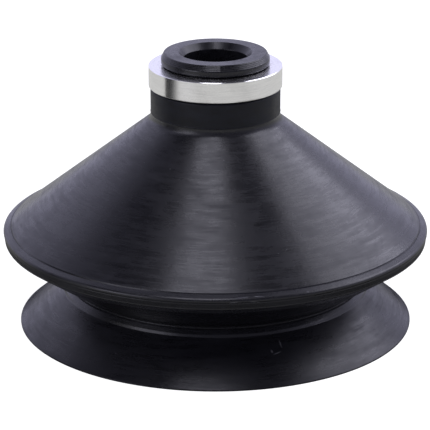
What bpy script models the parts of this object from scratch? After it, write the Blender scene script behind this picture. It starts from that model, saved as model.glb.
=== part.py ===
"""Bellows vacuum suction cup with one and a half folds, a push-on rubber neck and an aluminium clamp ring.

The rubber is one moulding. It is divided here at its flex lines: the stretches that keep their shape are
rigid nodes, and the thin walls that bend between them are nodes of their own.
Metres, +Z up. The origin is the centre of the sealing edge, in the plane that the cup stands on.
"""

import math

import bpy
from mathutils import Matrix, Vector
from mathutils.geometry import intersect_line_line

# Radii of the moulding's outside
LIP_RADIUS = 0.0550          # sealing edge
WAIST_RADIUS = 0.0408        # bottom of the groove between fold and lip
FOLD_RADIUS = 0.0593         # widest ring of the fold
NECK_RADIUS = 0.0179         # neck, below the clamp ring
BORE_RADIUS = 0.0087         # through the neck, for a push-in spigot

# Heights, stacked from the sealing plane up
EDGE_FACE_HEIGHT = 0.0004    # upright face of the thin sealing edge
SKIRT_HEIGHT = 0.0109        # lip skirt, above that face
WAIST_HEIGHT = 0.0010        # waist bead
WEB_HEIGHT = 0.0122          # wall that returns outwards from the waist to the fold
FOLD_BAND_HEIGHT = 0.0029    # steep band of the fold
FOLD_BEVEL_HEIGHT = 0.0009   # shallow bevel above that band
CONE_HEIGHT = 0.0293         # long upper cone
NECK_HEIGHT = 0.0100         # top of the cone to the shoulder under the clamp ring
RING_HEIGHT = 0.0058         # clamp ring
BEAD_HEIGHT = 0.0033         # rubber bead that keeps the ring on

# Walls
CONE_WALL = 0.0028
WEB_WALL = 0.0022
SKIRT_WALL = 0.0024          # at the waist; it thins down to the edge
SEAL_LAND = 0.0010           # flat strip of the sealing edge
WAIST_WALL = 0.0030          # thicker, so that the waist stays round under vacuum
RING_WALL = 0.0042           # clamp ring, outer face to bore

# Shares of the walls that bend
SHOULDER_LENGTH = 0.0120     # cone wall that bends when the cup tilts about X
HAUNCH_LENGTH = 0.0120       # cone wall that bends when it tilts about Y
FOLD_FLANGE = 0.0005         # cone or web wall that belongs to the stiff fold, beyond its rounded inside
WAIST_FLANGE = 0.0015        # web or skirt wall that belongs to the stiff waist
EDGE_STRIP = 0.0045          # skirt wall that belongs to the sealing edge

# Details
WAIST_STEP = 0.0012          # the lip stands out from the waist by this much
FOLD_BEVEL_WIDTH = 0.0022
FOLD_UNDERCUT = 0.0005       # the band leans in by this much at its foot
FOLD_INNER_ROUND = 0.0010    # inside corner of the fold
NECK_FLARE = 0.0016          # the moulding is wider than the neck by this much where the cone starts to bend
NECK_FLARE_ROUND = 0.0022    # concave corner between neck and cone
SHOULDER_BEVEL = 0.0004
BEAD_OVERHANG = 0.0010       # the bead's reach beyond its groove
BEAD_BEVEL = 0.0008
BEAD_BEVEL_HEIGHT = 0.0015
BEAD_UNDERSIDE_BEVEL = 0.0004
LEAD_IN = 0.0014             # funnel at the mouth of the bore
LEAD_IN_DEPTH = 0.0017
POCKET_DEPTH = 0.0014        # groove in the bore, which takes a spigot's collar
POCKET_LENGTH = 0.0030       # its cylindrical stretch
POCKET_TAPER = 0.0010        # height of each of its sloping ends
LOWER_GRIP = 0.0018          # bore between the pocket and the chamber
BORE_MOUTH = 0.0026          # width of the chamfer where the bore opens into the chamber
BORE_MOUTH_HEIGHT = 0.0013
RING_CHAMFER = 0.0003
RING_OVERHANG = 0.0005       # the ring stands out from the neck by this much
CLEARANCE = 0.0003           # between neighbouring nodes
SEGMENTS = 64                # flats round each ring
ROUND_STEPS = 4              # flats of a rounded corner
MERGE_DISTANCE = 0.00001


def point(radius, height):
    return Vector((radius, height))


def crossing(a, b, c, d):
    """Where the endless line through a and b meets the one through c and d."""
    near, _ = intersect_line_line(a.to_3d(), b.to_3d(), c.to_3d(), d.to_3d())
    return near.to_2d()


def at_radius(a, b, radius):
    """Where the endless line through a and b has that radius."""
    return a.lerp(b, (radius - a.x) / (b.x - a.x))


def rounded(before, corner, after, radius):
    """Points of the arc that rounds a corner, from the side of before to the side of after."""
    to_before = (before - corner).normalized()
    to_after = (after - corner).normalized()
    half_angle = to_before.angle(to_after) / 2
    centre = corner + (to_before + to_after).normalized() * (radius / math.sin(half_angle))
    reach = radius / math.tan(half_angle)
    first = corner + to_before * reach - centre
    last = corner + to_after * reach - centre
    sweep = -first.angle_signed(last)
    turns = [Matrix.Rotation(sweep * step / ROUND_STEPS, 2) for step in range(ROUND_STEPS + 1)]
    return [centre + turn @ first for turn in turns]


class Wall:
    """A straight stretch of wall in section, from start to end along its outer face."""

    def __init__(self, start, end, thickness, inner_end=None):
        self.start = start
        self.end = end
        self.run = (end - start).normalized()
        self.length = (end - start).length
        normal = Vector((self.run.y, -self.run.x))
        self.inner_start = start + normal * thickness
        self.inner_end = inner_end if inner_end else end + normal * thickness
        self.normal = normal

    def outer(self, distance):
        return self.start + self.run * distance

    def inner(self, distance):
        """Point of the inner face straight across from outer(distance)."""
        across = self.outer(distance)
        return crossing(across, across + self.normal, self.inner_start, self.inner_end)

    def distance_to(self, corner):
        """How far down the wall a point lies."""
        return (corner - self.start).dot(self.run)

    def section(self, first, last):
        """Outline of the stretch between two distances."""
        return [self.outer(first), self.outer(last), self.inner(last), self.inner(first)]


# Corners of the moulding's outside, from the sealing plane up
LIP_RIM = point(LIP_RADIUS, EDGE_FACE_HEIGHT)
SKIRT_TOP = point(WAIST_RADIUS + WAIST_STEP, LIP_RIM.y + SKIRT_HEIGHT)
WAIST_TOP = point(WAIST_RADIUS, SKIRT_TOP.y + WAIST_HEIGHT)
FOLD_FOOT = point(FOLD_RADIUS - FOLD_UNDERCUT, WAIST_TOP.y + WEB_HEIGHT)
FOLD_EDGE = point(FOLD_RADIUS, FOLD_FOOT.y + FOLD_BAND_HEIGHT)
CREASE = point(FOLD_RADIUS - FOLD_BEVEL_WIDTH, FOLD_EDGE.y + FOLD_BEVEL_HEIGHT)
CONE_TOP = point(NECK_RADIUS + NECK_FLARE, CREASE.y + CONE_HEIGHT)

# Levels of the neck and its ring
SHOULDER_Z = CONE_TOP.y + NECK_HEIGHT
RING_BOTTOM_Z = SHOULDER_Z + CLEARANCE
RING_TOP_Z = RING_BOTTOM_Z + RING_HEIGHT
BEAD_BOTTOM_Z = RING_TOP_Z + CLEARANCE
TOP_Z = BEAD_BOTTOM_Z + BEAD_HEIGHT

RING_RADIUS = NECK_RADIUS + RING_OVERHANG
RING_BORE_RADIUS = RING_RADIUS - RING_WALL
GROOVE_RADIUS = RING_BORE_RADIUS - CLEARANCE
BEAD_RADIUS = GROOVE_RADIUS + BEAD_OVERHANG

# The three straight walls, each from its upper end to its lower end
CONE = Wall(CONE_TOP, CREASE, CONE_WALL)
WEB = Wall(FOLD_FOOT, WAIST_TOP, WEB_WALL)
SKIRT = Wall(SKIRT_TOP, LIP_RIM, SKIRT_WALL, inner_end=point(LIP_RADIUS - SEAL_LAND, 0))

# Inside corner of the fold, and how much of each wall its rounding takes up
FOLD_INSIDE = crossing(CONE.inner_start, CONE.inner_end, WEB.inner_start, WEB.inner_end)
FOLD_ROUND_REACH = FOLD_INNER_ROUND / math.tan(CONE.run.angle(-WEB.run) / 2)

# Distances down the cone and the web at which one node gives way to the next
HAUNCH_START = SHOULDER_LENGTH + CLEARANCE
HAUNCH_END = HAUNCH_START + HAUNCH_LENGTH
CONE_FLANGE_START = CONE.distance_to(FOLD_INSIDE) - FOLD_ROUND_REACH - FOLD_FLANGE
WEB_FLANGE_END = WEB.distance_to(FOLD_INSIDE) + FOLD_ROUND_REACH + FOLD_FLANGE
WEB_FOOT_START = WEB.length - WAIST_FLANGE
EDGE_START = SKIRT.length - EDGE_STRIP

# Both tilt axes cross where the two bending stretches meet
TILT_Z = CONE.outer(SHOULDER_LENGTH + CLEARANCE / 2).y


def remove_everything():
    for existing in list(bpy.data.objects):
        bpy.data.objects.remove(existing)


def material(name, colour, metallic, roughness):
    made = bpy.data.materials.new(name)
    made.use_nodes = True
    shader = made.node_tree.nodes["Principled BSDF"]
    shader.inputs["Base Color"].default_value = (*colour, 1)
    shader.inputs["Metallic"].default_value = metallic
    shader.inputs["Roughness"].default_value = roughness
    made.diffuse_color = (*colour, 1)
    return made


def joint_empty(collection, name, height, parent=None):
    """Empty on a joint's axis. What hangs below the joint is parented to it."""
    empty = bpy.data.objects.new(name, None)
    empty.empty_display_size = NECK_RADIUS
    empty.parent = parent
    empty.location.z = height - (parent["height"] if parent else 0)
    empty["height"] = height
    collection.objects.link(empty)
    return empty


def turned(collection, name, outline, finish, parent):
    """Ring of the given section, turned about the cup's axis."""
    area = sum(a.x * b.y - b.x * a.y for a, b in zip(outline, outline[1:] + outline[:1]))
    if area > 0:
        outline = outline[::-1]          # the outer side has to run downwards
    level = parent["height"]
    corners = [(corner.x, 0, corner.y - level) for corner in outline]
    edges = [(index, (index + 1) % len(corners)) for index in range(len(corners))]
    mesh = bpy.data.meshes.new(name)
    mesh.from_pydata(corners, edges, [])
    mesh.materials.append(finish)
    ring = bpy.data.objects.new(name, mesh)
    ring.parent = parent
    collection.objects.link(ring)
    screw = ring.modifiers.new("Turn", "SCREW")
    screw.axis = "Z"
    screw.angle = 2 * math.pi
    screw.steps = SEGMENTS
    screw.render_steps = SEGMENTS
    screw.use_merge_vertices = True
    screw.merge_threshold = MERGE_DISTANCE
    screw.use_smooth_shade = True
    return ring


def neck_outline():
    """Sleeve with a groove for the clamp ring, a bead above it and a bore with a collar pocket."""
    mouth_foot = at_radius(CONE.inner_start, CONE.inner_end, BORE_RADIUS + BORE_MOUTH)
    mouth_top = mouth_foot.y + BORE_MOUTH_HEIGHT
    pocket_bottom = mouth_top + LOWER_GRIP
    pocket_top = pocket_bottom + POCKET_TAPER + POCKET_LENGTH + POCKET_TAPER
    outside = [
        point(BEAD_RADIUS - BEAD_BEVEL, TOP_Z),
        point(BEAD_RADIUS, TOP_Z - BEAD_BEVEL_HEIGHT),
        point(BEAD_RADIUS, BEAD_BOTTOM_Z + BEAD_UNDERSIDE_BEVEL),
        point(BEAD_RADIUS - BEAD_UNDERSIDE_BEVEL, BEAD_BOTTOM_Z),
        point(GROOVE_RADIUS, BEAD_BOTTOM_Z),
        point(GROOVE_RADIUS, SHOULDER_Z),
        point(NECK_RADIUS - SHOULDER_BEVEL, SHOULDER_Z),
        point(NECK_RADIUS, SHOULDER_Z - SHOULDER_BEVEL),
    ]
    flare_corner = at_radius(CONE.start, CONE.end, NECK_RADIUS)
    flare = rounded(point(NECK_RADIUS, SHOULDER_Z), flare_corner, CONE.end, NECK_FLARE_ROUND)
    underside = [CONE.outer(-CLEARANCE), CONE.inner(-CLEARANCE), mouth_foot]
    bore = [
        point(BORE_RADIUS, mouth_top),
        point(BORE_RADIUS, pocket_bottom),
        point(BORE_RADIUS + POCKET_DEPTH, pocket_bottom + POCKET_TAPER),
        point(BORE_RADIUS + POCKET_DEPTH, pocket_top - POCKET_TAPER),
        point(BORE_RADIUS, pocket_top),
        point(BORE_RADIUS, TOP_Z - LEAD_IN_DEPTH),
        point(BORE_RADIUS + LEAD_IN, TOP_Z),
    ]
    return outside + flare + underside + bore


def ring_outline():
    """Clamp ring: a plain turned band with all four corners broken."""
    outline = []
    for radius, inward in ((RING_RADIUS, -RING_CHAMFER), (RING_BORE_RADIUS, RING_CHAMFER)):
        side = [
            point(radius + inward, RING_TOP_Z),
            point(radius, RING_TOP_Z - RING_CHAMFER),
            point(radius, RING_BOTTOM_Z + RING_CHAMFER),
            point(radius + inward, RING_BOTTOM_Z),
        ]
        outline += side if inward < 0 else side[::-1]
    return outline


def fold_outline():
    """Stiff outer rim, with the ends of the cone wall and the web wall that run into it."""
    cone_end = CONE.inner(CONE_FLANGE_START)
    web_end = WEB.inner(WEB_FLANGE_END)
    return [
        CONE.outer(CONE_FLANGE_START),
        CREASE,
        FOLD_EDGE,
        FOLD_FOOT,
        WEB.outer(WEB_FLANGE_END),
        web_end,
        *rounded(web_end, FOLD_INSIDE, cone_end, FOLD_INNER_ROUND),
        cone_end,
    ]


def waist_outline():
    """Stiff waist, with the ends of the web wall and the skirt wall that run into it."""
    inner_radius = WAIST_RADIUS - WAIST_WALL
    return [
        WEB.outer(WEB_FOOT_START),
        WAIST_TOP,
        SKIRT_TOP,
        SKIRT.outer(WAIST_FLANGE),
        SKIRT.inner(WAIST_FLANGE),
        at_radius(SKIRT.inner_start, SKIRT.inner_end, inner_radius),
        at_radius(WEB.inner_start, WEB.inner_end, inner_radius),
        WEB.inner(WEB_FOOT_START),
    ]


def edge_outline():
    """Sealing edge, with the flat strip that meets the workpiece."""
    return [SKIRT.outer(EDGE_START), LIP_RIM, point(LIP_RADIUS, 0), SKIRT.inner_end, SKIRT.inner(EDGE_START)]


def build():
    remove_everything()
    cup = bpy.data.collections.new("vacuum_suction_cup")
    bpy.context.scene.collection.children.link(cup)
    aluminium = material("aluminium", (0.80, 0.81, 0.82), 1.0, 0.30)

    neck = joint_empty(cup, "neck_frame", SHOULDER_Z)
    tilt_x = joint_empty(cup, "tilt_x_axis", TILT_Z, neck)
    tilt_y = joint_empty(cup, "tilt_y_axis", TILT_Z, tilt_x)
    flatten = joint_empty(cup, "cone_flatten_axis", CREASE.y, tilt_y)
    stroke = joint_empty(cup, "fold_stroke_axis", WAIST_TOP.y, flatten)
    lip = joint_empty(cup, "lip_flatten_axis", 0, stroke)

    rubber_nodes = (
        ("neck_sleeve", neck_outline(), neck),
        ("cone_shoulder", CONE.section(0, SHOULDER_LENGTH), tilt_x),
        ("cone_haunch", CONE.section(HAUNCH_START, HAUNCH_END), tilt_y),
        ("cone_wall", CONE.section(HAUNCH_END + CLEARANCE, CONE_FLANGE_START - CLEARANCE), flatten),
        ("fold_rim", fold_outline(), flatten),
        ("fold_web", WEB.section(WEB_FLANGE_END + CLEARANCE, WEB_FOOT_START - CLEARANCE), stroke),
        ("waist_ring", waist_outline(), stroke),
        ("lip_skirt", SKIRT.section(WAIST_FLANGE + CLEARANCE, EDGE_START - CLEARANCE), lip),
        ("lip_edge", edge_outline(), lip),
    )
    for name, outline, parent in rubber_nodes:
        rubber = material(name + "_rubber", (0.020, 0.020, 0.024), 0.0, 0.42)
        turned(cup, name, outline, rubber, parent)
    turned(cup, "clamp_ring", ring_outline(), aluminium, neck)


build()
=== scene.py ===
import math

import bpy
import numpy as np
from mathutils import Matrix, Vector
from mathutils.geometry import intersect_line_line


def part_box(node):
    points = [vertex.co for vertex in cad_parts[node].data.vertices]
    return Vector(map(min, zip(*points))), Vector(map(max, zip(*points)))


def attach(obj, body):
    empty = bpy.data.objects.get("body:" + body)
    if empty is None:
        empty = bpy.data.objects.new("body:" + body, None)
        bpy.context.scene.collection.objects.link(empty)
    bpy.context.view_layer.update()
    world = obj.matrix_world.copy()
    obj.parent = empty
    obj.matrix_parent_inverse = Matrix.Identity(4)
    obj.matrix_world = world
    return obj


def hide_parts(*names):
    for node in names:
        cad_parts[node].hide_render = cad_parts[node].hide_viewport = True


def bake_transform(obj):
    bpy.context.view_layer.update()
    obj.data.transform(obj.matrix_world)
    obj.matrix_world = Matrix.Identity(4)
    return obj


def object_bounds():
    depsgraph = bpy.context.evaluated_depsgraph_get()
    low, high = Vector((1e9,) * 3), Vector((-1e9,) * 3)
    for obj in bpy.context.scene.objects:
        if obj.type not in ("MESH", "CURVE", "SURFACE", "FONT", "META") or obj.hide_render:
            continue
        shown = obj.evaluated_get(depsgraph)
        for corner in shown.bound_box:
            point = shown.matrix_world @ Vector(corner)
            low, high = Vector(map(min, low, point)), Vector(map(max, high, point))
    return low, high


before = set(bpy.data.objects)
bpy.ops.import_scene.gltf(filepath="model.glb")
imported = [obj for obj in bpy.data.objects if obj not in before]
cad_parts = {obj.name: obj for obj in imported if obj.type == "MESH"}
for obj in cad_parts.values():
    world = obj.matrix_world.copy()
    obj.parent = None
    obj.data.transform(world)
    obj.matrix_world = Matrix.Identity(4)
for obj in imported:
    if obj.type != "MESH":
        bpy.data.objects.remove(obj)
cadLow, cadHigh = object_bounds()
mm = 0.001
same = 0.01 * mm                 # places this close together count as one
print("frame loaded, CAD nodes:", len(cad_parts))

# How finely every turned skin is divided
turning = {
    "segments": 256,             # flats round the axis
    "row": 1.0 * mm,             # longest step along a wall
    "guard": 0.10 * mm,          # a row this close to each corner keeps long faces evenly shaded
    "arcStep": 14.0,             # degrees for each step of a rounded corner
    "cornerShare": 0.8,          # of the shorter side next to a corner that its rounding may take
    "leastTurn": 0.02,           # a corner that turns less than this, in radians, isn't rounded
    "crispAngle": 24.0,          # an unrounded corner that turns more than this stays crisp
    "cadGap": 0.3 * mm,          # between neighbouring CAD nodes; each skin runs to its middle
}


# Reading the frame. A section is drawn in the plane of radius and height.

def cornersOf(node):
    found = set()
    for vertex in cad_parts[node].data.vertices:
        if vertex.co.x > 0 and abs(vertex.co.y) < same / 5:
            found.add((round(vertex.co.x, 6), round(vertex.co.z, 6)))
    return [Vector(corner) for corner in sorted(found)]


def furthest(node, direction):
    return max(cornersOf(node), key=direction.dot)


def nearest(node, place):
    return min(cornersOf(node), key=lambda corner: (corner - place).length)


def crossing(a, b, c, d):
    # where the endless line through a and b meets the one through c and d
    near, _ = intersect_line_line(a.to_3d(), b.to_3d(), c.to_3d(), d.to_3d())
    return near.to_2d()


def atRadius(a, b, radius):
    return a.lerp(b, (radius - a.x) / (b.x - a.x))


class Wall:
    # one straight wall of the moulding, found from the CAD nodes that lie along it, upper one first

    def __init__(self, nodes, outward):
        slope = Vector((outward, -0.75)).normalized()      # roughly down the wall
        face = Vector((-slope.y, slope.x))                 # roughly out of its visible face
        self.top = furthest(nodes[0], face - slope)
        self.bottom = furthest(nodes[-1], face + slope)
        self.innerTop = furthest(nodes[0], -face - slope)
        self.innerBottom = furthest(nodes[-1], slope - face)
        self.run = (self.bottom - self.top).normalized()
        self.face = Vector((-self.run.y, self.run.x))
        ends = [self.depth(furthest(node, face + slope)) for node in nodes]
        self.seams = [-turning["cadGap"] / 2] + [end + turning["cadGap"] / 2 for end in ends]

    def depth(self, place):
        return (place - self.top).dot(self.run)

    def outer(self, depth):
        return self.top + self.run * depth

    def inner(self, depth):
        across = self.outer(depth)
        return crossing(across, across + self.face, self.innerTop, self.innerBottom)

    def section(self, first, last):
        # outline of the wall between two of its seams
        a, b = self.seams[first], self.seams[last]
        return [(self.outer(a), 0), (self.outer(b), 0), (self.inner(b), 0), (self.inner(a), 0)]


cone = Wall(["cone_shoulder", "cone_haunch", "cone_wall"], 1)
web = Wall(["fold_web"], -1)
skirt = Wall(["lip_skirt"], 1)
print("walls read from the frame, seams of the cone at", [round(s / mm, 2) for s in cone.seams])


# Turning a section into a skin

def arcPoints(before, place, after, rounding):
    into = (place - before).normalized()
    out = (after - place).normalized()
    turn = into.angle(out)
    if not rounding or turn < turning["leastTurn"]:
        return [place], turn > math.radians(turning["crispAngle"])
    longest = turning["cornerShare"] * min((place - before).length, (after - place).length)
    reach = min(rounding * math.tan(turn / 2), longest)
    radius = reach / math.tan(turn / 2)
    sense = 1 if into.x * out.y - into.y * out.x > 0 else -1
    start = place - into * reach
    centre = start + Vector((-into.y, into.x)) * sense * radius
    steps = max(2, math.ceil(math.degrees(turn) / turning["arcStep"]))
    turns = [Matrix.Rotation(sense * turn * step / steps, 2) for step in range(steps + 1)]
    return [centre + rotation @ (start - centre) for rotation in turns], False


def traced(corners):
    # corners are (place, rounding); the answer is (place, crisp) a row apart, all the way round
    count = len(corners)
    bends = [
        arcPoints(corners[i - 1][0], corners[i][0], corners[(i + 1) % count][0], corners[i][1])
        for i in range(count)
    ]
    rows = []
    for i, (points, crisp) in enumerate(bends):
        rows += [(point, crisp) for point in points]
        here, there = points[-1], bends[(i + 1) % count][0][0]
        length = (there - here).length
        stops = []
        if length > 6 * turning["guard"]:
            stops += [turning["guard"], length - turning["guard"]]
        steps = math.ceil(length / turning["row"])
        stops += [length * step / steps for step in range(1, steps)]
        for stop in sorted(stops):
            if stop < turning["guard"] * 1.01 or stop > 3 * turning["guard"]:
                rows.append((here.lerp(there, stop / length), False))
    return rows


moulding = {
    "unevenness": 0.0012,        # share of the radius
}


def wobble(angle, radius, height):
    # the slow unevenness of a thin moulding, the same for all its skins
    slow = np.sin(3 * angle + 0.7) * 0.5 + np.sin(5 * angle + 90 * height + 2.1) * 0.3
    quick = np.sin(9 * angle - 140 * height + 0.4) * 0.12 + np.sin(13 * angle + 60 * radius) * 0.06
    return (slow + quick) * radius * moulding["unevenness"], np.zeros_like(angle + height)


def turnedSkin(name, corners, finish, shapes=()):
    # each shape gives a push outwards and a lift for every angle, radius and height
    rows = traced(corners)
    places = [place for place, _ in rows]
    area = sum(a.x * b.y - b.x * a.y for a, b in zip(places, places[1:] + places[:1]))
    if area > 0:
        rows.reverse()                                     # the outer side has to run downwards
    segments = turning["segments"]
    angle = (np.arange(segments) * 2 * math.pi / segments)[None, :]
    radius = np.array([place.x for place, _ in rows])[:, None]
    height = np.array([place.y for place, _ in rows])[:, None]
    push = np.zeros((len(rows), segments))
    lift = np.zeros((len(rows), segments))
    for shape in shapes:
        outwards, upwards = shape(angle, radius, height)
        push = push + outwards
        lift = lift + upwards
    out = radius + push
    spots = np.stack([out * np.sin(angle), -out * np.cos(angle), height + lift], axis=-1)
    row, step = np.meshgrid(np.arange(len(rows)), np.arange(segments), indexing="ij")
    below, beside = (row + 1) % len(rows), (step + 1) % segments
    start, end = row * segments, below * segments
    faces = np.stack([start + step, end + step, end + beside, start + beside], axis=-1)
    mesh = bpy.data.meshes.new(name)
    mesh.from_pydata(spots.reshape(-1, 3).tolist(), [], faces.reshape(-1, 4).tolist())
    mesh.polygons.foreach_set("use_smooth", np.ones(len(mesh.polygons), bool))
    ends = np.zeros(len(mesh.edges) * 2, np.int32)
    mesh.edges.foreach_get("vertices", ends)
    ends = ends.reshape(-1, 2) // segments                 # the row of each end
    crispRows = np.array([crisp for _, crisp in rows])
    mesh.edges.foreach_set("use_edge_sharp", (ends[:, 0] == ends[:, 1]) & crispRows[ends[:, 0]])
    rest = mesh.attributes.new("restPosition", "FLOAT_VECTOR", "POINT")
    rest.data.foreach_set("vector", spots.astype(np.float32).ravel())
    mesh.materials.append(finish)
    mesh.update()
    skin = bpy.data.objects.new(name, mesh)
    bpy.context.scene.collection.objects.link(skin)
    return skin


def bendAlong(skin, wall, first, last, even=False):
    places = np.zeros(len(skin.data.vertices) * 3, np.float32)
    skin.data.vertices.foreach_get("co", places)
    guide = places.copy()
    depth = (np.hypot(places[0::3], places[1::3]) - wall.top.x) * wall.run.x
    depth += (places[2::3] - wall.top.y) * wall.run.y
    if even:
        share = np.clip((depth - wall.seams[first]) / (wall.seams[last] - wall.seams[first]), 0, 1)
        share = 0.5 - np.sin(np.arcsin(1 - 2 * share) / 3)
        depth = wall.seams[first] + share * (wall.seams[last] - wall.seams[first])
    guide[2::3] = wall.top.y + depth * wall.run.y
    skin.data.vertices.foreach_set("co", guide)
    start = (0, 0, wall.outer(wall.seams[first]).y)
    end = (0, 0, wall.outer(wall.seams[last]).y)
    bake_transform(skin)
    skin.data.vertices.foreach_set("co", places)
    skin.data.update()


# Shader maths as Python expressions

class Link:
    # a node's output in an expression; arithmetic on it adds Math nodes

    def __init__(self, board, socket):
        self.board = board
        self.socket = socket

    def __add__(self, other):
        return self.board.maths("ADD", self, other)

    def __sub__(self, other):
        return self.board.maths("SUBTRACT", self, other)

    def __rsub__(self, other):
        return self.board.maths("SUBTRACT", other, self)

    def __mul__(self, other):
        return self.board.maths("MULTIPLY", self, other)

    def __truediv__(self, other):
        return self.board.maths("DIVIDE", self, other)

    __radd__ = __add__


class Board:
    # the nodes of one material or of the world

    def __init__(self, owner):
        owner.use_nodes = True
        self.tree = owner.node_tree
        self.tree.nodes.clear()

    def node(self, kind, settings, values, output=0):
        made = self.tree.nodes.new(kind)
        for setting, value in settings.items():
            setattr(made, setting, value)
        for socket, value in values.items():
            if isinstance(value, Link):
                self.tree.links.new(value.socket, made.inputs[socket])
            else:
                made.inputs[socket].default_value = value
        return Link(self, made.outputs[output]) if len(made.outputs) else None

    def maths(self, operation, *values):
        return self.node("ShaderNodeMath", {"operation": operation}, dict(enumerate(values)))

    def between(self, value, low, high):
        # 0 below low, 1 above high and a smooth step between them; low may be the larger
        settings = {"interpolation_type": "SMOOTHSTEP", "clamp": True}
        return self.node("ShaderNodeMapRange", settings, {"Value": value, "From Min": low, "From Max": high})

    def split(self, vector):
        return [self.node("ShaderNodeSeparateXYZ", {}, {0: vector}, output) for output in range(3)]

    def joined(self, x, y, z):
        return self.node("ShaderNodeCombineXYZ", {}, {0: x, 1: y, 2: z})

    def noise(self, vector, scale, detail=3.0, roughness=0.5, output="Fac"):
        values = {"Vector": vector, "Scale": scale, "Detail": detail, "Roughness": roughness}
        return self.node("ShaderNodeTexNoise", {}, values, output)

    def mixed(self, factor, a, b):
        return self.node("ShaderNodeMix", {"data_type": "RGBA"}, {0: factor, 6: a, 7: b}, 2)

    def bump(self, height):
        # height is in metres
        values = {"Height": height, "Distance": 1.0, "Strength": 1.0}
        return self.node("ShaderNodeBump", {}, values, "Normal")

    def placeOnSkin(self):
        # where a point lies at rest, its distance from the axis, and its direction from there
        rest = self.node("ShaderNodeAttribute", {"attribute_name": "restPosition"}, {}, "Vector")
        x, y, z = self.split(rest)
        radius = self.maths("SQRT", x * x + y * y)
        return rest, x, y, z, radius, x / radius, y / radius

    def output(self, shader):
        self.node("ShaderNodeOutputMaterial", {}, {"Surface": shader})


def colour(red, green, blue):
    return (red, green, blue, 1.0)


# Rubber of the whole moulding

rubberLook = {
    "black": colour(0.0034, 0.0034, 0.0048),
    "bloom": colour(0.013, 0.013, 0.017),        # grey haze where the surface was wiped or handled
    "dust": colour(0.10, 0.10, 0.11),
    "roughness": 0.27,
    "roughnessSpread": 0.16,
    "specular": 0.50,
    "wornSpecular": 0.26,                        # where marks have taken the shine off
    "wornRoughness": 0.12,
    "wear": 0.70,                                # how strongly the marks show
    "wipeAround": 3.2,                           # wipe marks: how short they are round the axis
    "wipeAcross": 620.0,                         # and how fine they are down the wall, per metre
    "fineAround": 3,                             # the fine ones are this much shorter
    "fineAcross": 4,                             # and this much finer
    "scuffAround": 9,
    "scuffAcross": 380.0,
    "scuffSlant": (22, 9),                       # how far scuffs run off the wipes, right and back
    "clouds": 38.0,                              # large areas that were handled or not, per metre
    "patches": 150.0,
    # how much each kind of mark greys the black, takes off the shine, or varies the roughness
    "hazeOf": {"broad": 0.40, "fine": 0.30, "scuffed": 0.45},
    "wornBy": {"broad": 0.25, "handled": 0.25, "fine": 0.30, "scuffed": 0.30, "patches": 0.18},
    "spreadOf": {"clouds": 0.7, "patches": 0.8, "wipes": 0.8, "fineWipes": 0.5, "haze": 0.04},
    "bloomOf": {"haze": 0.75, "patches": 0.12},
    "grain": 3600.0,                             # moulded grain, per metre
    "grainHeight": 0.0030 * mm,
    "wipeHeight": 0.0045 * mm,
    "dentHeight": 0.055 * mm,                    # slow unevenness, seen only in the reflections
    "specks": 420.0,                             # dust specks, cells per metre
    "speckSize": (0.085, 0.05),                  # of a cell: the soft edge and the full part
    "speckHeight": 0.01 * mm,
    "markHeight": 0.06 * mm,                     # of the marks that are placed one by one
    "markDust": 0.40,                            # and how pale they are
    "slope": 0.61,                               # the marks run round a wall that falls about this steeply
}
# The sleeve between ring and parting line was never handled, so it is duller
sleeveLook = {
    "roughness": 0.42,
    "specular": 0.22,
    "wornSpecular": 0.08,
    "bloom": colour(0.017, 0.019, 0.027),
    "dentHeight": 0.02 * mm,
}
# The lip is a little duller too, and the web under the fold gets a darker black and bloom, painted shade of
# the fold above it
lipFinish = {"specular": 0.40, "wornSpecular": 0.16, "roughness": 0.29}
# Marks are degrees right of the front, height, half length in degrees, half thickness and climb
lipScratches = (
    (22.3, 8.4 * mm, 0.28, 0.85 * mm, 0.0),
    (20.2, 6.7 * mm, 1.5, 0.13 * mm, 0.22 * mm),
    (18.6, 7.2 * mm, 0.4, 0.35 * mm, 0.0),
)
# painted shade: a darker black and bloom for the web, standing in for the shade under the fold
webPaintedShadeFinish = {
    "black": colour(0.0016, 0.0016, 0.0024),
    "specular": 0.11,
    "wornSpecular": 0.07,
    "bloom": colour(0.004, 0.004, 0.006),
}


def marksOn(board, x, y, z, marks):
    # 1 on short pale marks, 0 elsewhere
    angle = board.maths("ARCTAN2", x, y * -1)
    found = angle * 0
    for place, height, length, thickness, climb in marks:
        along = (angle - math.radians(place)) / math.radians(length)
        up = (z - height - along * climb) / thickness
        found = board.maths("MAXIMUM", found, board.between(along * along + up * up, 1.3, 0.3))
    return found


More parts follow.
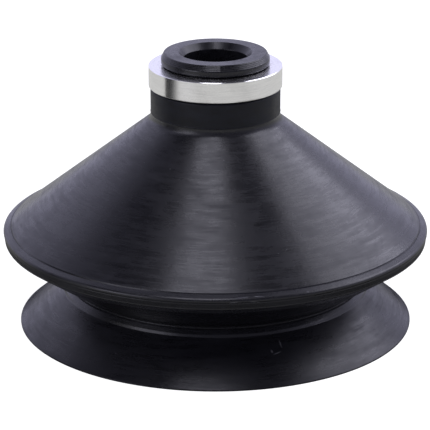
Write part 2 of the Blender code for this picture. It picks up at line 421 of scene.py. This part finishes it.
def rubberFinish(name, look, marks=()):
    made = bpy.data.materials.new(name)
    board = Board(made)
    rest, x, y, z, radius, towardsX, towardsY = board.placeOnSkin()
    across = radius * (1 - look["slope"] ** 2) ** 0.5 - z * look["slope"]

    def streaks(around, down, detail, roughness):
        # noise that is drawn out round the axis
        place = board.joined(towardsX * around, towardsY * around, down)
        return board.noise(place, 1.0, detail, roughness)

    around, down = look["wipeAround"], across * look["wipeAcross"]
    wipes = streaks(around, down, 4.0, 0.62)
    fineWipes = streaks(around * look["fineAround"], down * look["fineAcross"], 3.0, 0.6)
    right, back = look["scuffSlant"]
    slanted = across * look["scuffAcross"] + towardsX * right + towardsY * back
    scuffs = streaks(look["scuffAround"], slanted, 5.0, 0.7)
    clouds = board.noise(rest, look["clouds"], 3.0, 0.55)
    patches = board.noise(rest, look["patches"], 4.0, 0.62)
    grain = board.noise(rest, look["grain"], 2.0, 0.5)

    handled = board.between(clouds, 0.38, 0.62)
    broad = board.between(wipes, 0.36, 0.70)
    fine = board.between(fineWipes, 0.38, 0.72)
    scuffed = board.between(scuffs, 0.54, 0.70) * handled
    share = look["hazeOf"]
    marked = broad * share["broad"] + fine * share["fine"] + scuffed * share["scuffed"]
    haze = board.maths("MINIMUM", marked, 1.0)
    share = look["wornBy"]
    worn = broad * (share["broad"] + handled * share["handled"]) + fine * share["fine"]
    worn = worn + scuffed * share["scuffed"] + board.between(patches, 0.35, 0.75) * share["patches"]

    cells = {"Vector": rest, "Scale": look["specks"]}
    speckDistance = board.node("ShaderNodeTexVoronoi", {}, cells, "Distance")
    speckColour = board.node("ShaderNodeTexVoronoi", {}, cells, "Color")
    chance, size, _ = board.split(speckColour)
    edge, full = look["speckSize"]
    specks = board.between(speckDistance, size * edge, size * full) * board.between(chance, 0.80, 0.86)

    share = look["bloomOf"]
    bloom = haze * share["haze"] + patches * share["patches"]
    body = board.mixed(bloom, look["black"], look["bloom"])
    scratched = marksOn(board, x, y, z, marks) if marks else specks * 0
    dusty = board.maths("MAXIMUM", specks, scratched * look["markDust"])
    base = board.mixed(dusty, body, look["dust"])
    share = look["spreadOf"]
    uneven = (clouds - 0.5) * share["clouds"] + (patches - 0.5) * share["patches"]
    uneven = uneven + (wipes - 0.5) * share["wipes"] + (fineWipes - 0.5) * share["fineWipes"]
    roughness = look["roughness"] + uneven * look["roughnessSpread"] + haze * share["haze"]
    height = grain * look["grainHeight"] + (fineWipes + scuffs + wipes) * look["wipeHeight"]
    height = height + patches * look["dentHeight"] + specks * look["speckHeight"]
    bump = board.bump(height + scratched * look["markHeight"])
    clean, dulled = [
        board.node("ShaderNodeBsdfPrincipled", {}, {
            "Base Color": base,
            "Roughness": roughness + added,
            "Normal": bump,
            "Specular IOR Level": specular,
        })
        for specular, added in ((look["specular"], 0.0), (look["wornSpecular"], look["wornRoughness"]))
    ]
    wear = board.maths("MINIMUM", worn * look["wear"], 1.0)
    board.output(board.node("ShaderNodeMixShader", {}, {0: wear, 1: clean, 2: dulled}))
    return made


# Turned aluminium of the clamp ring

aluminiumLook = {
    "bright": colour(0.92, 0.915, 0.90),
    "dull": colour(0.70, 0.695, 0.685),
    "darkTone": colour(0.26, 0.24, 0.22),
    "roughness": 0.20,
    "anisotropy": 0.65,
    "toolMarks": 5200.0,                         # per metre across the cut
    "coarseMarks": 0.22,                         # share of that for the coarse ones
    "toolMarkHeight": 0.0022 * mm,
    "smudges": 160.0,                            # per metre
    "flecks": 1500.0,
    # the ring turns towards a dark tone in flecks near the bore and in smudges just above its lower face
    "boreDarkening": (2.2 * mm, 0.6 * mm),            # out from the bore: its end and where it is full
    "boreDarkeningShare": 0.8,
    "footDarkening": (0.55 * mm, 0.2 * mm),           # up from the ring's lower face
    "footDarkeningShare": 0.5,
    "dullBy": {"cut": 0.35, "smudge": 0.3},
    "spreadOf": {"cut": 0.14, "smudge": 0.12, "darkening": 0.2},
}


def aluminiumFinish(name, look, ringBore, ringBottom):
    made = bpy.data.materials.new(name)
    board = Board(made)
    rest, _, _, z, radius, towardsX, towardsY = board.placeOnSkin()
    marks = (radius + z) * look["toolMarks"]
    cut = board.noise(board.joined(towardsX * 3, towardsY * 3, marks), 1.0, 3.0, 0.6)
    marks = marks * look["coarseMarks"]
    coarse = board.noise(board.joined(towardsX * 1.5, towardsY * 1.5, marks), 1.0, 2.0, 0.5)
    smudge = board.noise(rest, look["smudges"], 4.0, 0.6)
    flecks = board.noise(rest, look["flecks"], 2.0, 0.6)
    end, full = look["boreDarkening"]
    nearBead = board.between(radius, ringBore + end, ringBore + full)
    end, full = look["footDarkening"]
    nearFoot = board.between(z, ringBottom + end, ringBottom + full)
    # darker flecks near the bore, darker smudges near the lower face
    darkening = board.between(flecks, 0.50, 0.66) * nearBead * look["boreDarkeningShare"]
    darkening = darkening + nearFoot * board.between(smudge, 0.35, 0.6) * look["footDarkeningShare"]
    share = look["dullBy"]
    dulled = board.between(cut, 0.35, 0.7) * share["cut"] + board.between(smudge, 0.5, 0.75) * share["smudge"]
    base = board.mixed(darkening, board.mixed(dulled, look["bright"], look["dull"]), look["darkTone"])
    share = look["spreadOf"]
    roughness = look["roughness"] + (cut - 0.5) * share["cut"] + (smudge - 0.5) * share["smudge"]
    roughness = roughness + darkening * share["darkening"]
    bump = board.bump((cut + coarse * 2) * look["toolMarkHeight"])
    tangent = board.node("ShaderNodeTangent", {"direction_type": "RADIAL", "axis": "Z"}, {})
    board.output(board.node("ShaderNodeBsdfPrincipled", {}, {
        "Base Color": base,
        "Roughness": roughness,
        "Normal": bump,
        "Tangent": tangent,
        "Metallic": 1.0,
        "Anisotropic": look["anisotropy"],
        "Anisotropic Rotation": 0.25,            # the glare runs across the turning marks
    }))
    return made


# Levels that several pieces share
ringLow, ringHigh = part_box("clamp_ring")
ringBore = min(corner.x for corner in cornersOf("clamp_ring"))
rubber = rubberFinish("charcoalRubber", rubberLook)
sleeveRubber = rubberFinish("sleeveRubber", {**rubberLook, **sleeveLook})
lipRubber = rubberFinish("lipRubber", {**rubberLook, **lipFinish}, lipScratches)
# the web's rubber, darkened as painted shade under the fold
underRubberPaintedShade = rubberFinish("underRubberPaintedShade", {**rubberLook, **webPaintedShadeFinish})
aluminium = aluminiumFinish("turnedAluminium", aluminiumLook, ringBore, ringLow.z)
print("finishes made")


# Neck, with the bead above the ring and the bore

neckLook = {
    "mouthRound": 0.12 * mm,
    "lineWidth": 0.22 * mm,      # fine groove between the bead's top face and its side
    "lineDepth": 0.14 * mm,
    "lineLip": 0.02 * mm,        # how far its outer edge stands out
    "layers": 4,                 # fine ledges down the bead's side
    "ledge": 0.09 * mm,
    "bevelFootRound": 0.20 * mm,
    "sideRound": 0.15 * mm,
    "undersideRound": 0.10 * mm,
    "shoulderRound": 0.60 * mm,
    "partingBelowRing": 7.2 * mm,
    "partingHeight": 0.16 * mm,
    "partingReach": 0.07 * mm,
    "filletRadius": 2.6 * mm,    # between sleeve and cone
    "insideRound": 0.25 * mm,
    "seamAngle": 5.0,            # moulding seam on the bead, degrees right of the front
    "seamReach": 0.16 * mm,
    "seamWidth": 1.1,            # degrees
    "bevelWidth": 0.8 * mm,      # about the width of the CAD's bevel on the bead
    "boreWall": 3 * mm,          # corners this close to the bore belong to it
}


def beadSeam(angle, radius, height):
    swing = np.degrees(np.angle(np.exp(1j * (angle - math.radians(neckLook["seamAngle"])))))
    ridge = np.exp(-((swing / neckLook["seamWidth"]) ** 2)) * neckLook["seamReach"]
    onBead = (height > ringHigh.z) & (radius > ringBore)
    return ridge * onBead, np.zeros_like(ridge * onBead)


def makeNeck():
    look = neckLook
    corners = cornersOf("neck_sleeve")
    top = max(corner.y for corner in corners)
    bore = min(corner.x for corner in corners)
    inside = sorted((c for c in corners if c.x < bore + look["boreWall"]), key=lambda corner: corner.y)
    beadSide = [c for c in corners if c.y > ringHigh.z and c.x > ringBore]
    beadRadius = max(corner.x for corner in beadSide)
    widest = [c for c in beadSide if c.x > beadRadius - same]
    bevelFoot = max(widest, key=lambda corner: corner.y)
    bevelTop = nearest("neck_sleeve", Vector((beadRadius - look["bevelWidth"], top)))
    underside = min(beadSide, key=lambda corner: corner.y)
    sideFoot = min(widest, key=lambda corner: corner.y)
    shoulder = [c for c in corners if abs(c.y - (ringLow.z - turning["cadGap"])) < same]
    shoulderEdge = max(shoulder, key=lambda corner: corner.x)
    groove = ringBore - turning["cadGap"]
    neckRadius = max(c.x for c in corners if c.y > shoulderEdge.y - 1 * mm)
    parting = ringLow.z - look["partingBelowRing"]

    outline = [(inside[-1], look["mouthRound"])]
    outline += [
        (bevelTop - Vector((look["lineWidth"], 0)), look["lineWidth"] / 3),
        (bevelTop + Vector((-look["lineWidth"] / 2, -look["lineDepth"])), 0),
        (bevelTop + Vector((look["lineLip"], -look["lineDepth"] / 2)), look["lineWidth"] / 3),
    ]
    for level in range(1, look["layers"] + 1):             # ledges down to the bead's widest ring
        place = bevelTop.lerp(bevelFoot, level / look["layers"])
        outline.append((place + Vector((0, look["ledge"])), look["ledge"] / 2))
        outline.append((place - Vector((look["ledge"], 0)), 0))
    outline += [
        (bevelFoot - Vector((0, 3 * look["ledge"])), look["bevelFootRound"]),
        (sideFoot, look["sideRound"]),
        (underside, look["undersideRound"]),
        (Vector((groove, underside.y)), 0),
        (Vector((groove, shoulderEdge.y)), 0),
        (Vector((neckRadius, shoulderEdge.y)), look["shoulderRound"]),
    ]
    for rise, reach in ((1, 0), (0, 1), (-1, 0)):          # fine ridge where the mould parts
        place = Vector((reach * look["partingReach"], rise * look["partingHeight"]))
        outline.append((Vector((neckRadius, parting)) + place, 0))
    outline += [(atRadius(cone.top, cone.bottom, neckRadius), look["filletRadius"])]
    outline += [(cone.outer(cone.seams[0]), 0), (cone.inner(cone.seams[0]), 0)]
    outline += [(corner, look["insideRound"]) for corner in inside[:-1]]
    skin = turnedSkin("neckRubber", outline, sleeveRubber, [wobble, beadSeam])
    skin.data.materials.append(rubber)                     # bead, foot and bore are finished like the cone
    for face in skin.data.polygons:
        sleeve = parting < face.center.z < ringLow.z and math.hypot(face.center.x, face.center.y) > ringBore
        if not sleeve:
            face.material_index = 1
    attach(skin, "neck")
    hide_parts("neck_sleeve")


# Clamp ring, pushed on over the bead

ringLook = {
    "chamfer": 0.17 * mm,
    "edgeRound": 0.05 * mm,
}


def makeRing():
    look = ringLook
    outer = ringHigh.x
    outline = []
    for radius, inward in ((outer, -look["chamfer"]), (ringBore, look["chamfer"])):
        side = [
            Vector((radius + inward, ringHigh.z)),
            Vector((radius, ringHigh.z - look["chamfer"])),
            Vector((radius, ringLow.z + look["chamfer"])),
            Vector((radius + inward, ringLow.z)),
        ]
        outline += [(corner, look["edgeRound"]) for corner in (side if inward < 0 else side[::-1])]
    skin = turnedSkin("clampRing", outline, aluminium)
    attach(skin, "neck")
    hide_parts("clamp_ring")


# Cone, in three lengths

def makeCone():
    lengths = (
        ("shoulderRubber", 0, "neck", "shoulder", "cone_shoulder"),
        ("haunchRubber", 1, "shoulder", "haunch", "cone_haunch"),
        ("coneRubber", 2, "haunch", "fold", "cone_wall"),
    )
    for name, seam, upper, lower, node in lengths:
        skin = turnedSkin(name, cone.section(seam, seam + 1), rubber, [wobble])
        bendAlong(skin, cone, seam, seam + 1)
        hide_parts(node)


# Fold, the stiff outer rim between cone and web

foldLook = {
    "creaseWidth": 0.26 * mm,    # groove between cone and bevel
    "creaseDepth": 0.18 * mm,
    "creaseLip": 0.05 * mm,      # the cone's surface swells a little before the groove
    "swellRound": 0.5 * mm,
    "bevelReach": 2.2 * mm,      # about how far in from the rim's edge the CAD has its crease
    "edgeRound": 1.1 * mm,
    "grooveBelowEdge": 1.05 * mm,
    "grooveHeight": 0.20 * mm,
    "grooveDepth": 0.08 * mm,
    "footRidge": 0.06 * mm,      # thin ridge along the lower edge
    "footHeight": 0.42 * mm,
    "ridgeLevel": 0.4,           # share of that height
    "footRound": 0.22 * mm,
    "insideRound": 1.0 * mm,
    # marks of the flash left on the rim, their heights above its edge
    "flash": (
        (6.4, 0.30 * mm, 2.3, 0.12 * mm, 0.05 * mm),
        (11.2, 0.34 * mm, 1.2, 0.10 * mm, -0.10 * mm),
        (4.6, -0.70 * mm, 1.2, 0.11 * mm, 0.12 * mm),
        (9.8, -0.80 * mm, 1.4, 0.10 * mm, -0.15 * mm),
        (24.0, 0.20 * mm, 0.35, 0.16 * mm, 0.0),
    ),
}


def makeFold():
    look = foldLook
    edge = furthest("fold_rim", Vector((1, 0)))
    foot = furthest("fold_rim", Vector((1, -1)))
    crease = nearest("fold_rim", atRadius(cone.top, cone.bottom, edge.x - look["bevelReach"]))
    bevel = (edge - crease).normalized()
    band = (foot - edge).normalized()
    groove = edge + band * look["grooveBelowEdge"]
    outwards = Vector((1, 0))
    ridge = foot - band * look["footHeight"] * look["ridgeLevel"]
    insideCorner = crossing(cone.innerTop, cone.innerBottom, web.innerTop, web.innerBottom)
    outline = [
        (cone.outer(cone.seams[3]), 0),
        (crease - cone.run * 3 * look["creaseWidth"], look["swellRound"]),
        (crease - cone.run * look["creaseWidth"] + cone.face * look["creaseLip"], look["creaseWidth"] / 3),
        (crease - Vector((0, look["creaseDepth"])), look["creaseWidth"] / 5),
        (crease + bevel * look["creaseWidth"], look["creaseWidth"] / 3),
        (edge, look["edgeRound"]),
        (groove - band * look["grooveHeight"], look["grooveHeight"] / 3),
        (groove - outwards * look["grooveDepth"], look["grooveHeight"] / 4),
        (groove + band * look["grooveHeight"], look["grooveHeight"] / 3),
        (foot - band * look["footHeight"], look["footRound"]),
        (ridge + outwards * look["footRidge"], look["footRound"]),
        (foot, look["footRound"]),
        (web.outer(web.seams[0]), 0),
        (web.inner(web.seams[0]), 0),
        (insideCorner, look["insideRound"]),
        (cone.inner(cone.seams[3]), 0),
    ]
    flash = [(place, edge.y + above, *rest) for place, above, *rest in look["flash"]]
    skin = turnedSkin("foldRubber", outline, rubberFinish("rimRubber", rubberLook, flash), [wobble])
    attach(skin, "fold")
    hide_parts("fold_rim")


# Web, the wall under the fold

def makeWeb():
    skin = turnedSkin("webRubber", web.section(0, 1), underRubberPaintedShade, [wobble])
    bendAlong(skin, web, 0, 1, even=True)
    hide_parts("fold_web")


# Waist, the stiff ring between web and skirt

waistLook = {
    "flange": 1.8 * mm,          # about how far past the web and the skirt the CAD's corners lie
    "grooveRound": 0.35 * mm,
    "shoulderReach": 0.95 * mm,  # rounded bead at the head of the skirt
    "shoulderRound": 0.50 * mm,
    "beadReach": 0.70 * mm,
    "beadDrop": 0.20 * mm,
    "beadRound": 0.80 * mm,
    "beadFoot": 1.40 * mm,
    "beadFootRound": 0.3 * mm,
    "insideRound": 0.5 * mm,
}


def makeWaist():
    look = waistLook
    skirtTop = nearest("waist_ring", skirt.outer(-look["flange"]))
    waistTop = nearest("waist_ring", web.outer(web.seams[1] + look["flange"]))
    corners = cornersOf("waist_ring")
    narrow = min(corner.x for corner in corners)
    inside = sorted((c for c in corners if c.x < narrow + same), key=lambda corner: corner.y)
    outline = [
        (web.outer(web.seams[1]), 0),
        (waistTop, look["grooveRound"]),
        (waistTop + Vector((look["shoulderReach"], -look["beadDrop"] / 4)), look["shoulderRound"]),
        (skirtTop + Vector((look["beadReach"], -look["beadDrop"])), look["beadRound"]),
        (skirtTop + skirt.run * look["beadFoot"], look["beadFootRound"]),
        (skirt.outer(skirt.seams[0]), 0),
        (skirt.inner(skirt.seams[0]), 0),
        (inside[0], look["insideRound"]),
        (inside[-1], look["insideRound"]),
        (web.inner(web.seams[1]), 0),
    ]
    skin = turnedSkin("waistRubber", outline, rubber, [wobble])
    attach(skin, "waist")
    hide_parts("waist_ring")


# Lip, the skirt and its sealing edge

lipLook = {
    "rimRound": 0.14 * mm,
    "landRound": 0.20 * mm,
}


def makeLip():
    look = lipLook
    skin = turnedSkin("skirtRubber", skirt.section(0, 1), lipRubber, [wobble])
    bendAlong(skin, skirt, 0, 1)
    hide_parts("lip_skirt")
    rim = furthest("lip_edge", Vector((1, 0.1)))
    heel = Vector((rim.x, cadLow.z))
    land = min((c for c in cornersOf("lip_edge") if c.y < cadLow.z + same), key=lambda corner: corner.x)
    outline = [
        (skirt.outer(skirt.seams[1]), 0),
        (rim, look["rimRound"]),
        (heel, look["rimRound"]),
        (land, look["landRound"]),
        (skirt.inner(skirt.seams[1]), 0),
    ]
    skin = turnedSkin("edgeRubber", outline, lipRubber, [wobble])
    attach(skin, "lip")
    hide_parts("lip_edge")


makeNeck()
makeRing()
makeCone()
makeFold()
makeWeb()
makeWaist()
makeLip()


# Studio

studioLook = {
    "floorSize": 8.0,
    "floorBelow": 0.02 * mm,     # how far it lies under the cup's lowest place
    "floorColour": colour(0.28, 0.28, 0.28),
    "floorGlow": 0.97,
    "skyColour": colour(0.91, 0.90, 1.20),
    "skyLow": 0.64,              # radiance of the room up to shoulder height
    "skyFront": 0.30,            # share of that in front of the cup
    "skyHigh": 0.04,
    "skyRear": 0.30,             # more of it behind the cup
    "skyFade": (0.85, 0.60),     # how steeply up the room's light starts, and where it is full
    "frontFade": (-0.10, -0.60),
    "rearFade": (0.28, 0.55),
    "aimHeight": 40 * mm,        # of the place that the softboxes face
    # name, distance, degrees right of the front, elevation, width, height, radiance
    "softboxes": (
        ("rightSoftbox", 1.25, 110.5, 43.5, 1.20, 0.78, 2.6),
        ("leftSoftbox", 1.25, -55.0, 18.0, 0.80, 0.72, 1.8),
    ),
    "softboxColour": (0.98, 0.97, 1.13),
    "overhead": {"height": 1.25, "x": -0.092, "y": -0.32, "width": 0.40, "length": 1.15, "radiance": 3.4},
    "floorShine": 0.60,          # how bright the floor shows in shiny surfaces
    # painted shade on the floor card: full within dark of the axis, gone beyond bright
    "floorCard": {"size": 4.0, "below": 0.01 * mm, "dark": 62 * mm, "bright": 158 * mm},
    "flag": {"x": -165 * mm, "rear": 4 * mm, "fade": -34 * mm, "front": -104 * mm, "height": 120 * mm},
}


def putFacing(made, place, aim):
    made.location = place
    made.rotation_mode = "QUATERNION"
    made.rotation_quaternion = (aim - place).to_track_quat("-Z", "Y")
    bpy.context.scene.collection.objects.link(made)


def sheet(name, width, height):
    mesh = bpy.data.meshes.new(name)
    x, y = width / 2, height / 2
    mesh.from_pydata([(-x, -y, 0), (x, -y, 0), (x, y, 0), (-x, y, 0)], [], [(0, 1, 2, 3)])
    return bpy.data.objects.new(name, mesh)


def softbox(name, place, aim, width, height, radiance):
    light = bpy.data.lights.new(name, "AREA")
    light.shape = "RECTANGLE"
    light.size = width
    light.size_y = height
    light.energy = radiance * math.pi * width * height
    light.color = studioLook["softboxColour"]
    made = bpy.data.objects.new(name, light)
    made.visible_camera = False
    putFacing(made, place, aim)


def card(name, place, aim, width, height, shade):
    # a card that only shows in shiny surfaces; shade gives its radiance from the place on it
    finish = bpy.data.materials.new(name)
    board = Board(finish)
    position = board.node("ShaderNodeNewGeometry", {}, {}, "Position")
    values = {"Color": colour(1, 1, 1), "Strength": shade(board, position)}
    board.output(board.node("ShaderNodeEmission", {}, values))
    made = sheet(name, width, height)
    made.data.materials.append(finish)
    made.visible_camera = False
    made.visible_diffuse = False
    made.visible_shadow = False
    putFacing(made, place, aim)


def paintedFloorShade(board, position):
    # painted reflection of the floor, with painted shade close to the cup: the card's glow is darker there,
    # standing in for the cup's own shade
    x, y, _ = board.split(position)
    away = board.maths("SQRT", x * x + y * y)
    look = studioLook["floorCard"]
    return board.between(away, look["dark"], look["bright"]) * studioLook["floorShine"]


def flagShade(board, position):
    # the floor's glow beside the cup fades towards the front
    _, y, _ = board.split(position)
    look = studioLook["flag"]
    return board.between(y, look["fade"], look["front"]) * studioLook["floorShine"]


def makeFloor():
    look = studioLook
    finish = bpy.data.materials.new("paleFloor")
    board = Board(finish)
    board.output(board.node("ShaderNodeBsdfPrincipled", {}, {
        "Base Color": look["floorColour"],
        "Roughness": 0.9,
        "Specular IOR Level": 0.1,
        "Emission Color": colour(1, 1, 1),
        "Emission Strength": look["floorGlow"],
    }))
    floor = sheet("studioFloor", look["floorSize"], look["floorSize"])
    floor.data.materials.append(finish)
    floor.location.z = cadLow.z - look["floorBelow"]
    bpy.context.scene.collection.objects.link(floor)


def makeSky():
    world = bpy.data.worlds.new("studioRoom")
    bpy.context.scene.world = world
    board = Board(world)
    look = studioLook
    _, y, z = board.split(board.node("ShaderNodeTexCoord", {}, {}, "Generated"))
    low = board.between(z, *look["skyFade"])
    rear = board.between(y, *look["rearFade"])
    front = board.between(y, *look["frontFade"])
    low = low * (look["skyLow"] - look["skyHigh"]) * (1 - front * (1 - look["skyFront"]))
    radiance = look["skyHigh"] + low + rear * look["skyRear"]
    shader = board.node("ShaderNodeBackground", {}, {"Color": look["skyColour"], "Strength": radiance})
    board.node("ShaderNodeOutputWorld", {}, {"Surface": shader})


def makeLights():
    look = studioLook
    up = Vector((0, 0, 1))
    aim = up * look["aimHeight"]
    for name, distance, right, elevation, width, height, radiance in look["softboxes"]:
        turn, tilt = math.radians(right), math.radians(elevation)
        level = Vector((math.sin(turn), -math.cos(turn), 0)) * math.cos(tilt)
        softbox(name, aim + (level + up * math.sin(tilt)) * distance, aim, width, height, radiance)
    over = look["overhead"]
    place = Vector((over["x"], over["y"], over["height"]))
    softbox("overheadSoftbox", place, place - up, over["width"], over["length"], over["radiance"])
    floor = look["floorCard"]
    card("floorCard", up * -floor["below"], up, floor["size"], floor["size"], paintedFloorShade)
    flag = look["flag"]
    middle = Vector((flag["x"], (flag["rear"] + flag["front"]) / 2, flag["height"] / 2))
    width = flag["rear"] - flag["front"]
    card("sideFlag", middle, middle + Vector((1, 0, 0)), width, flag["height"], flagShade)


cameraLook = {
    "distance": 695.5 * mm,
    "pitch": 19.336,             # degrees down
    "aimHeight": 30.0 * mm,
    "lens": 208.06,
    "sensor": 36,
    "clip": (0.01, 50),
    "shiftX": -0.0011,
    "shiftY": -0.0003,
}


def makeCamera():
    look = cameraLook
    data = bpy.data.cameras.new("studioCamera")
    data.lens = look["lens"]
    data.sensor_width = look["sensor"]
    data.shift_x = look["shiftX"]
    data.shift_y = look["shiftY"]
    data.clip_start, data.clip_end = look["clip"]
    camera = bpy.data.objects.new("studioCamera", data)
    pitch = math.radians(look["pitch"])
    back = Vector((0, -math.cos(pitch), math.sin(pitch)))
    aim = Vector((0, 0, look["aimHeight"]))
    putFacing(camera, aim + back * look["distance"], aim)
    bpy.context.scene.camera = camera


makeFloor()
makeSky()
makeLights()
makeCamera()
bpy.context.scene.view_settings.view_transform = "Standard"
print("studio set up")
